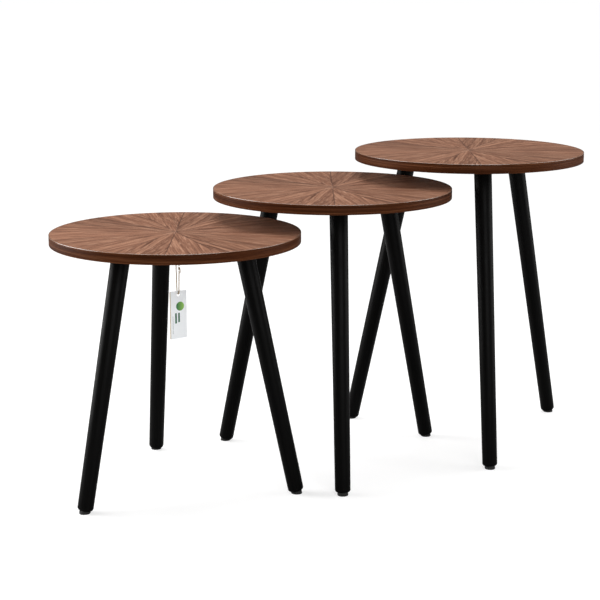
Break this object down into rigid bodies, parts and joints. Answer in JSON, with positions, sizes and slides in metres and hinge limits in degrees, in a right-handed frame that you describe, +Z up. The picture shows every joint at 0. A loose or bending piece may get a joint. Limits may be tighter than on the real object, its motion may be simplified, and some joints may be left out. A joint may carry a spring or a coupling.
{
  "type": "nesting tables",
  "caption": "Round wood-topped side tables of rising height that slide partly under each other, on splayed turned legs, with a hanging swing tag.",
  "frame": {"origin": "on the floor, under the middle of the outline that the three tables cover", "axes": "+X along the row from the lowest table to the tallest, +Y across the row, +Z up"},
  "size_m": [1.0072, 0.4126, 0.515],
  "materials": {
    "walnut_face": "satin-lacquered walnut veneer in sixteen book-matched leaves",
    "walnut_edge": "satin-lacquered walnut edge veneer, grain round the rim",
    "backing_sheet": "plain walnut-toned backing veneer",
    "board_core": "raw fibreboard",
    "leg_black": "satin black lacquer on turned beech",
    "plate_steel": "black powder-coated pressed steel",
    "zinc_steel": "zinc-plated steel",
    "foot_rubber": "black rubber",
    "tag_twine": "twisted jute twine",
    "tag_card": "matt white paper card"
  },
  "bodies": {
    "tall_table": {"tall_board_core": "board_core", "tall_backing_sheet": "backing_sheet", "tall_face_veneer": "walnut_face", "tall_edge_band": "walnut_edge", "tall_leg_1": "leg_black", "tall_leg_2": "leg_black", "tall_leg_3": "leg_black", "tall_leg_plate_1": "plate_steel", "tall_leg_plate_2": "plate_steel", "tall_leg_plate_3": "plate_steel", "tall_hanger_bolt_1": "zinc_steel", "tall_hanger_bolt_2": "zinc_steel", "tall_hanger_bolt_3": "zinc_steel", "tall_foot_pad_1": "foot_rubber", "tall_foot_pad_2": "foot_rubber", "tall_foot_pad_3": "foot_rubber"},
    "medium_table": {"medium_board_core": "board_core", "medium_backing_sheet": "backing_sheet", "medium_face_veneer": "walnut_face", "medium_edge_band": "walnut_edge", "medium_leg_1": "leg_black", "medium_leg_2": "leg_black", "medium_leg_3": "leg_black", "medium_leg_plate_1": "plate_steel", "medium_leg_plate_2": "plate_steel", "medium_leg_plate_3": "plate_steel", "medium_hanger_bolt_1": "zinc_steel", "medium_hanger_bolt_2": "zinc_steel", "medium_hanger_bolt_3": "zinc_steel", "medium_foot_pad_1": "foot_rubber", "medium_foot_pad_2": "foot_rubber", "medium_foot_pad_3": "foot_rubber"},
    "small_table": {"small_board_core": "board_core", "small_backing_sheet": "backing_sheet", "small_face_veneer": "walnut_face", "small_edge_band": "walnut_edge", "small_leg_1": "leg_black", "small_leg_2": "leg_black", "small_leg_3": "leg_black", "small_leg_plate_1": "plate_steel", "small_leg_plate_2": "plate_steel", "small_leg_plate_3": "plate_steel", "small_hanger_bolt_1": "zinc_steel", "small_hanger_bolt_2": "zinc_steel", "small_hanger_bolt_3": "zinc_steel", "small_foot_pad_1": "foot_rubber", "small_foot_pad_2": "foot_rubber", "small_foot_pad_3": "foot_rubber", "tag_staple": "zinc_steel"},
    "swing_tag": {"tag_twine": "tag_twine", "tag_knot": "tag_twine", "tag_card": "tag_card"}
  },
  "joints": [
    {"name": "medium_slide", "type": "slide", "parent": "tall_table", "child": "medium_table", "axis": [1, 0, 0], "range_m": [-0.167, 0.016]},
    {"name": "small_slide", "type": "slide", "parent": "medium_table", "child": "small_table", "axis": [1, 0, 0], "range_m": [-0.155, 0.033]},
    {"name": "tag_swing", "type": "hinge", "parent": "small_table", "child": "swing_tag", "pos_m": [-0.32636, -0.05137, 0.4], "axis": [0.9974, 0.0715, 0], "range_deg": [-35, 35]}
  ]
}
